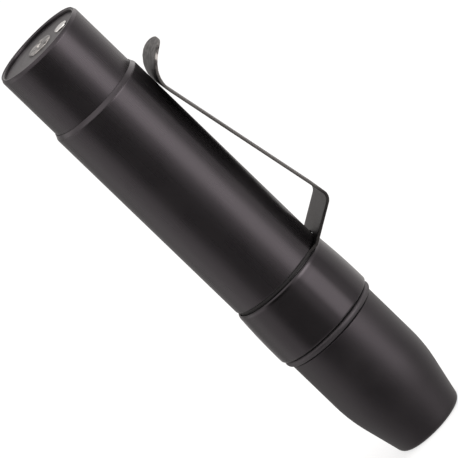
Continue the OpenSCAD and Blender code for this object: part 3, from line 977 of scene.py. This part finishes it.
@dataclass
class Clip(Assembly):
    """Belt clip of blackened steel: clamped ring, two legs, riser, bend, arm and flared tip."""

    body = "barrel"
    thickness: float = 1.2
    width: float = 30.0
    rows: int = 16
    ring_z: float = 91.0
    ring_radius: float = 21.9
    ring_bore: float = 21.32
    barrel_radius: float = 22.5
    barrel_low: float = 91.62
    gap: float = 0.3
    cut_below: float = 2.0
    lug_x: float = 15.5
    hinge_x: float = 20.0
    root_bend: float = 1.6
    riser: float = 30.0
    reach: float = 38.29
    bend: float = 4.0
    bend_rise: float = 11.95
    lean: float = 10.4
    touch: float = 13.5
    flare: float = 4.0
    tip_length: float = 10.4
    tip_turns: tuple[float, ...] = (0, 10, 20, 30, 40, 49, 57, 64, 70, 75, 79, 82, 84.5)
    edge: float = 0.16

    def build(self) -> None:
        """Builds the ring and the strip."""
        half = self.thickness / 2
        low, top = self.ring_z - half, self.ring_z + half
        ring = [(self.ring_bore, low), (self.ring_radius, low), (self.ring_radius, top),
                (self.ring_bore, top)]
        band = Bench.turn("clip_band", closed(ring))
        Bench.soften(band, width=0.06, segments=2)
        self.dress(band, BAND_BLACK, "clip_ring")
        strip = self.strip()
        self.clear_barrel(strip)
        self.coat(strip, SPRING_STEEL)
        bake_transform(strip)
        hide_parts("clip_arm")
        log.info("%s: %d faces, from barrel to clip", strip.name, len(strip.data.polygons))

    def arm_foot(self) -> Point:
        """Where the arm's middle line stands furthest out, at the end of the bend.

        Returns:
            Its X and Z.
        """
        out = self.reach - self.thickness / 2 / math.cos(math.radians(self.lean))
        return out, self.ring_z + self.bend_rise

    def touch_middle(self) -> Point:
        """Middle of the round by which the arm touches the barrel.

        Returns:
            Its X and Z.
        """
        lean, foot = math.radians(self.lean), self.arm_foot()
        x = self.barrel_radius + self.gap + self.thickness / 2 + self.touch
        return x, foot[1] + (self.touch + (foot[0] - x) * math.cos(lean)) / math.sin(lean)

    def tip_start(self) -> float:
        """X from which the end of the tip is rounded.

        Returns:
            The distance from the axis.
        """
        flare = self.touch * math.sin(math.radians(self.flare))
        return self.touch_middle()[0] - flare - self.tip_length

    def path(self) -> list[Point]:
        """Middle line of the strip, from the root to where the tip starts to round.

        Returns:
            Its points in the X-Z plane.
        """
        lean, riser = math.radians(self.lean), math.radians(self.riser)
        hinge, foot, touch_mid = (self.hinge_x, self.ring_z), self.arm_foot(), self.touch_middle()
        run = 1 / math.tan(riser)
        across = foot[0] + foot[1] * math.tan(lean) - hinge[0] + hinge[1] * run
        corner_z = across / (run + math.tan(lean))
        corner = (hinge[0] + (corner_z - hinge[1]) * run, corner_z)
        leg = self.bend * math.tan((math.pi / 2 + lean - riser) / 2)
        bend_mid = (corner[0] - leg * math.cos(riser) - self.bend * math.sin(riser),
                    corner[1] - leg * math.sin(riser) + self.bend * math.cos(riser))
        tip = math.degrees(math.acos((self.tip_start() - touch_mid[0]) / self.touch))
        root_leg = self.root_bend * math.tan(riser / 2)
        root_mid = (hinge[0] - root_leg, hinge[1] + self.root_bend)
        root = arc(root_mid, self.root_bend, -90, self.riser - 90, steps=6)
        bend = arc(bend_mid, self.bend, self.riser - 90, self.lean, steps=14)
        touch = arc(touch_mid, self.touch, 180 + self.lean, tip, steps=12)
        rise = self.between(root[-1], bend[0], steps=8)
        return root + rise + bend + self.between(bend[-1], touch[0], steps=24) + touch

    @staticmethod
    def between(start: Point, end: Point, steps: int) -> list[Point]:
        """Points inside a straight run, its two ends left out.

        Args:
            start: First end.
            end: Last end.
            steps: Number of steps between the two.

        Returns:
            The points.
        """
        across, up = end[0] - start[0], end[1] - start[1]
        return [(start[0] + across * i / steps, start[1] + up * i / steps)
                for i in range(1, steps)]

    def strip(self) -> Piece:
        """Draws the strip out along its path, rounds its tip and thickens it.

        Returns:
            The strip, its root still a full flat from side to side.
        """
        path = self.path()
        start, end = self.lug_x, path[0][0]
        middle = (start + end) / 2
        Bench.clear()
        bpy.ops.mesh.primitive_grid_add(
            x_subdivisions=1, y_subdivisions=self.rows, size=1,
            location=(middle * MM, 0, self.ring_z * MM),
        )
        bpy.context.object.scale = ((end - start) * MM, self.width * MM, 1)
        strip = Bench.settle("clip_strip")
        mesh = strip.data
        mesh.polygons.foreach_set("select", [False] * len(mesh.polygons))
        for vertex in mesh.vertices:
            vertex.select = vertex.co.x > middle * MM
        for edge in mesh.edges:
            edge.select = all(mesh.vertices[i].select for i in edge.vertices)
        bpy.ops.object.mode_set(mode="EDIT")
        bpy.ops.mesh.select_mode(type="EDGE")
        for here, there in zip(path, path[1:]):
            Bench.extrude((there[0] - here[0], 0, there[1] - here[1]))
        self.round_tip(path[-1])
        Bench.close()
        Bench.apply(strip, "SOLIDIFY", thickness=self.thickness * MM, offset=0)
        Bench.soften(strip, width=self.edge, segments=3, limit=50)
        return strip

    def round_tip(self, start: Point) -> None:
        """Draws the selected edges on round the flare to a round tip.

        Args:
            start: Where the round begins.
        """
        turns = [math.radians(angle) for angle in self.tip_turns]
        middle, tip_x = self.touch_middle(), self.tip_start()
        here = start
        for a, b in zip(turns, turns[1:]):
            x = tip_x + self.tip_length * math.sin(b)
            z = middle[1] + math.sqrt(self.touch ** 2 - (middle[0] - x) ** 2)
            Bench.extrude((x - here[0], 0, z - here[1]))
            Bench.resize((1, math.cos(b) / math.cos(a), 1), (x, 0, z))
            here = (x, z)

    def clear_barrel(self, strip: Piece) -> None:
        """Cuts the room for ring and barrel out of the strip's root, which leaves its two legs.

        Args:
            strip: The strip.
        """
        low, step = self.ring_z - self.cut_below, self.barrel_low
        top = self.ring_z + self.bend_rise
        inner, outer = self.ring_radius + SEAT, self.barrel_radius + self.gap
        profile = [(inner, low), (inner, step), (outer, step), (outer, top), (0, top)]
        Bench.combine(strip, Bench.turn("cutter", profile, capped=True), "DIFFERENCE")
        Bench.shade(strip)


@dataclass
class Draw(Assembly):
    """Draw tube with its head: rim, bezel, plug, eyelet, rivet and felt.

    The bush and the grip ring on its lower end stay as packed.
    """

    body = "draw"
    radius: float = 21.2
    bore: float = 20.2
    low: float = 103.12
    rim: float = 230.0
    rim_bevel: float = 0.7
    rim_height: float = 1.6
    rim_fall: float = 0.3
    plug_radius: float = 20.18
    plug_bore: float = 18.63
    plug_top: float = 228.4
    plug_low: float = 226.4
    skirt_low: float = 218.4
    dish: float = 0.12
    dish_ease: float = 2.0
    dish_rows: tuple[float, ...] = (17.5, 16, 14.5, 13, 11.5, 10, 8.5, 7.2, 6.4, 6)
    bezel: float = 0.8
    eyelet: float = 6.0
    eyelet_bore: float = 1.5
    eyelet_neck: float = 2.3
    eyelet_wall: float = 0.8
    eyelet_dome: tuple[Point, ...] = (
        (6.0, 0.25), (5.8, 0.5), (5.3, 0.68), (4.6, 0.77), (3.6, 0.8), (2.7, 0.8), (2.1, 0.72),
        (1.7, 0.52), (1.5, 0.2),
    )
    rivet_x: float = 11.5
    rivet_y: float = -3.5
    rivet: float = 3.25
    rivet_shank: float = 1.25
    rivet_foot: float = 2.05
    rivet_dome: float = 0.3
    rivet_power: int = 6
    rivet_rows: tuple[float, ...] = (0.97, 0.9, 0.8, 0.65, 0.45, 0.2)
    felt: float = 2.0
    felt_gap: float = 0.1
    felt_edge: float = 0.2
    felt_corner: float = 0.4
    felt_side: float = 0.6
    felt_rows: tuple[float, ...] = (0.2, 0.4, 0.6, 0.8)
    felt_lift: float = 0.1
    bit_past: float = 1.0

    def build(self) -> None:
        """Builds the tube, bezel, plug, eyelet and felt, and dresses the nodes that stay."""
        tube = Bench.turn("head_tube", self.profile())
        Bench.soften(tube, width=0.15, segments=3, limit=20)
        self.dress(tube, HEAD_BLACK, "draw_tube")
        bezel = Bench.turn("bezel_band", self.bezel_profile())
        Bench.soften(bezel, width=0.15)
        self.dress(bezel, HARD_BLACK, "bezel_ring")
        plug = Bench.turn("plug_cap", self.plug_profile())
        self.drill(plug, self.rivet_shank + SEAT)
        Bench.soften(plug, width=0.12, segments=2)
        self.dress(plug, PLUG_GLOSS, "end_plug")
        eye = Bench.turn("vent_eye", self.eyelet_profile())
        Bench.shade(eye, limit=60)
        self.dress(eye, NICKEL, "vent_eyelet")
        self.dress(self.rivet_piece(), RIVET_NICKEL, "plug_rivet")
        self.dress(self.felt_pad(), FELT, "plug_felt_pad")
        self.keep("guide_bush", NYLON)
        self.keep("grip_ring", RUBBER)

    def profile(self) -> list[Point]:
        """Profile of the draw tube, closed, its rim bevelled outside and falling to the inside."""
        return closed([
            (self.bore, self.low), (self.radius, self.low),
            (self.radius, self.rim - self.rim_height), (self.radius - self.rim_bevel, self.rim),
            (self.bore, self.rim - self.rim_fall),
        ])

    def bezel_profile(self) -> list[Point]:
        """Profile of the ring that holds the plug, closed, sloped to the inside.

        Returns:
            The profile.
        """
        edge = self.bezel / 3
        low, top = self.plug_top + SEAT, self.rim - self.rim_fall
        inner, outer = self.plug_radius - self.bezel, self.plug_radius
        return closed([
            (inner, low), (outer, low), (outer, top), (inner + edge, top), (inner, top - edge),
        ])

    def plug_profile(self) -> list[Point]:
        """Profile of the plug, closed, its face a little dished towards the eyelet's seat.

        Returns:
            The profile.
        """
        hole = self.eyelet_neck + SEAT
        flat = self.plug_radius - self.bezel
        dished = []
        for radius in (flat, *self.dish_rows):
            off = radius - self.eyelet
            bowl = 1 - off ** 2 / (flat - self.eyelet) ** 2
            dip = self.dish * bowl * min(1.0, off / self.dish_ease)
            dished.append((radius, self.plug_top - dip))
        return closed([
            (hole, self.plug_low), (self.plug_bore, self.plug_low),
            (self.plug_bore, self.skirt_low), (self.plug_radius, self.skirt_low),
            (self.plug_radius, self.plug_top), *dished, (hole, self.plug_top),
        ])

    def eyelet_profile(self) -> list[Point]:
        """Profile of the eyelet, closed: rolled foot, barrel, domed flange and rolled mouth.

        Returns:
            The profile.
        """
        low, seat = self.plug_low - SEAT, self.plug_top + SEAT
        foot = low - self.eyelet_wall
        roll = self.eyelet_neck + 2 * self.eyelet_wall
        dome = [(radius, self.plug_top + height) for radius, height in self.eyelet_dome]
        return closed([
            (self.eyelet_bore, foot), (roll, foot), (roll, low), (self.eyelet_neck, low),
            (self.eyelet_neck, seat), (self.eyelet, seat), *dome,
        ])

    def rivet_piece(self) -> Piece:
        """Rivet beside the eyelet: clenched foot, shank and a low domed head.

        Returns:
            The rivet.
        """
        low, seat = self.plug_low - SEAT, self.plug_top + SEAT
        foot, top = low - self.eyelet_wall, self.plug_top + self.eyelet_wall
        dome = [(self.rivet * k, top - self.rivet_dome * k ** self.rivet_power)
                for k in self.rivet_rows]
        profile = [
            (self.rivet_foot, foot), (self.rivet_foot, low), (self.rivet_shank, low),
            (self.rivet_shank, seat), (self.rivet, seat), (self.rivet, seat + self.rivet_dome),
            *dome, (0, top),
        ]
        stud = Bench.turn("plug_stud", profile, capped=True)
        Bench.shade(stud, limit=50)
        Bench.move(stud, (self.rivet_x, self.rivet_y, 0))
        return stud

    def drill(self, piece: Piece, radius: float) -> None:
        """Drills the rivet's hole through a piece.

        Args:
            piece: The piece.
            radius: Radius of the hole in millimetres.
        """
        low, top = self.plug_low - self.felt - self.bit_past, self.plug_top + self.bit_past
        bit = Bench.turn("bit", [(radius, low), (radius, top), (0, top)], capped=True)
        Bench.move(bit, (self.rivet_x, self.rivet_y, 0))
        Bench.combine(piece, bit, "DIFFERENCE")

    def felt_pad(self) -> Piece:
        """Felt ring under the plug with soft edges.

        Returns:
            The pad.
        """
        top = self.plug_low - SEAT
        low = top - self.felt
        outer = self.plug_bore - self.felt_gap
        inner = self.eyelet_neck + 3 * self.eyelet_wall
        edge, corner, side = self.felt_edge, self.felt_corner, low + self.felt_side
        under = [(inner + (outer - inner) * k, low + self.felt_lift) for k in self.felt_rows]
        pad = Bench.turn("plug_felt", closed([
            (inner, side), (inner + corner, low + edge), *under, (outer - corner, low + edge),
            (outer, side), (outer, top - edge), (outer - edge, top), (inner + edge, top),
            (inner, top - edge),
        ]))
        self.drill(pad, self.rivet_foot + self.felt_gap)
        Felt.ruffle(pad)
        return pad


@dataclass(frozen=True)
class Lobe:
    """A soft patch of the studio, brighter or darker than the rest.

    Its azimuth counts from the camera's side to the right. It is full up to the inner angle and
    gone past the outer one, in degrees.
    """

    azimuth: float
    inner: float
    outer: float
    gain: float


@dataclass
class Studio:
    """Pale floor, white backdrop, soft light and the camera at the photographed angle.

    Places are metres. The heights of the light are the Z of a ray's direction.
    """

    target: tuple[float, float, float] = (0.0, 0.0, 0.1186)
    distance: float = 4.0
    elevation: float = 13.0
    swing: float = -1.3
    roll: float = -46.02
    frame_width: float = 0.1875
    sensor: float = 36.0
    view_end: float = 50.0
    floor_size: float = 12.0
    floor_colour: Colour = (0.9, 0.9, 0.9)
    floor_glow: float = 0.7
    lamp_place: tuple[float, float, float] = (0.35, -0.35, 0.95)
    lamp_size: float = 0.7
    lamp_power: float = 5.0
    room_level: float = 1.27
    room_colour: Colour = (1.0, 0.965, 0.95)
    side_level: float = 0.55
    upper_level: float = 0.75
    level_heights: Point = (-0.15, 0.1)
    ceiling: Lobe = Lobe(-5, 30, 110, 0.8)
    ceiling_heights: Point = (0.3, 0.55)
    low_share: float = 0.2
    rise_heights: Point = (-0.6, -0.3)
    fall_heights: Point = (0.28, 0.5)
    swell: float = 2.1
    swell_heights: Point = (-0.12, 0.08)
    lobes: tuple[Lobe, ...] = (
        Lobe(-29, 8, 50, -0.44),
        Lobe(46, 3, 25, 2.1),
        Lobe(44, 5, 48, 0.38),
        Lobe(128, 8, 40, 0.36),
        Lobe(-95, 8, 44, 0.32),
        Lobe(-150, 10, 40, -0.16),
    )

    def build(self) -> None:
        """Builds the stage, the light and the camera."""
        self.floor()
        self.world()
        self.lamp()
        self.camera()

    def floor(self) -> None:
        """Lays the pale floor, which shows white to the camera and keeps the shadow."""
        Bench.clear()
        bpy.ops.mesh.primitive_plane_add(size=self.floor_size)
        floor = Bench.settle("floor")
        floor.visible_glossy = False
        made = bpy.data.materials.new("floor_white")
        made.use_nodes = True
        made.node_tree.nodes.clear()
        wires = Wiring(made.node_tree)
        paint = wires.add("BsdfDiffuse")
        paint.inputs["Color"].default_value = (*self.floor_colour, 1)
        glow = wires.add("Emission")
        seen = wires.add("LightPath").outputs["Is Camera Ray"]
        share = wires.math("MULTIPLY", seen, self.floor_glow)
        out = wires.add("OutputMaterial")
        shown = wires.choose(share, paint.outputs[0], glow.outputs[0])
        wires.feed(out.inputs["Surface"], shown)
        floor.data.materials.append(made)

    def world(self) -> None:
        """Surrounds the object with a soft white studio, which each kind of ray sees in its way.

        The camera sees plain white, diffuse rays an even room, and glossy rays its soft boxes.
        """
        world = bpy.data.worlds.new("studio")
        bpy.context.scene.world = world
        world.use_nodes = True
        world.node_tree.nodes.clear()
        wires = Wiring(world.node_tree)
        path = wires.add("LightPath").outputs
        backdrop = self._background(wires, (1.0, 1.0, 1.0), 1.0)
        room = self._background(wires, self.room_colour, self.room_level)
        boxes = self._background(wires, self.room_colour, self._soft_boxes(wires))
        seen = wires.math("MAXIMUM", path["Is Camera Ray"], path["Is Transmission Ray"])
        light = wires.choose(path["Is Glossy Ray"], room, boxes)
        out = wires.add("OutputWorld")
        wires.feed(out.inputs["Surface"], wires.choose(seen, light, backdrop))

    @staticmethod
    def _background(wires: Wiring, colour: Colour, level: Socket | float) -> Socket:
        """Makes a background.

        Args:
            wires: Nodes of the world.
            colour: Its colour.
            level: Its strength.

        Returns:
            The background.
        """
        node = wires.add("Background")
        node.inputs["Color"].default_value = (*colour, 1)
        wires.feed(node.inputs["Strength"], level)
        return node.outputs[0]

    def _soft_boxes(self, wires: Wiring) -> Socket:
        """Level of the studio in reflections: the room, its ceiling and its soft boxes.

        Args:
            wires: Nodes of the world.

        Returns:
            The level along a ray.
        """
        ray = wires.add("TexCoord").outputs["Generated"]
        way = wires.vector("NORMALIZE", wires.vector("MULTIPLY", ray, (1, 1, 0)))
        height = wires.axes(ray)["Z"]
        rise = wires.span(height, self.rise_heights, (self.low_share, 1.0))
        fall = wires.span(height, self.fall_heights, (1.0, 0.0))
        swell = wires.span(height, self.swell_heights, (1.0, self.swell))
        fade = wires.math("MULTIPLY", wires.math("MULTIPLY", rise, fall), swell)
        above = wires.span(height, self.ceiling_heights)
        level = wires.span(height, self.level_heights, (self.side_level, self.upper_level))
        level = self._patch(wires, way, self.ceiling, above, level)
        for lobe in self.lobes:
            level = self._patch(wires, way, lobe, fade, level)
        return level

    @staticmethod
    def _patch(wires: Wiring, way: Socket, lobe: Lobe, fade: Socket, level: Socket) -> Socket:
        """Adds one soft patch to the level of the studio.

        Args:
            wires: Nodes of the world.
            way: Level direction of the ray.
            lobe: The patch.
            fade: Share of the patch at the ray's height.
            level: Level so far.

        Returns:
            The new level.
        """
        angle = math.radians(lobe.azimuth)
        toward = wires.vector("DOT_PRODUCT", way, (math.sin(angle), -math.cos(angle), 0))
        edges = (math.cos(math.radians(lobe.outer)), math.cos(math.radians(lobe.inner)))
        patch = wires.span(toward, edges, (0.0, lobe.gain))
        return wires.math("MULTIPLY_ADD", patch, fade, level)

    def lamp(self) -> None:
        """Hangs one large soft lamp above the object for the floor's shadow."""
        Bench.clear()
        bpy.ops.object.light_add(type="AREA", location=self.lamp_place)
        lamp = bpy.context.object
        lamp.name = "top_lamp"
        lamp.data.shape = "DISK"
        lamp.data.size = self.lamp_size
        lamp.data.energy = self.lamp_power
        toward = Vector(self.target) - lamp.location
        lamp.rotation_euler = toward.to_track_quat("-Z", "Y").to_euler()
        lamp.visible_camera = False
        lamp.visible_glossy = False

    def camera(self) -> None:
        """Sets the camera: far off, slightly above, rolled so that the tube crosses the frame."""
        Bench.clear()
        high, swing = math.radians(self.elevation), math.radians(self.swing)
        level = math.cos(high)
        back = Vector((math.sin(swing) * level, -math.cos(swing) * level, math.sin(high)))
        bpy.ops.object.camera_add(location=Vector(self.target) + back * self.distance)
        camera = bpy.context.object
        camera.name = "photo_camera"
        camera.data.sensor_width = self.sensor
        camera.data.lens = self.sensor * self.distance / self.frame_width
        camera.data.clip_end = self.view_end
        roll = Matrix.Rotation(math.radians(self.roll), 3, "Z")
        turned = (-back).to_track_quat("-Z", "Y").to_matrix() @ roll
        camera.rotation_euler = turned.to_euler()
        bpy.context.scene.camera = camera


def main() -> None:
    """Builds the studio and every sub-assembly in order."""
    logging.basicConfig(level=logging.INFO, format="%(name)s: %(message)s")
    bpy.context.scene.view_settings.view_transform = "Standard"
    Studio().build()
    for assembly in (Base(), Collar(), Barrel(), Clip(), Draw()):
        assembly.build()
    Bench.clear()


if __name__ == "__main__":
    main()
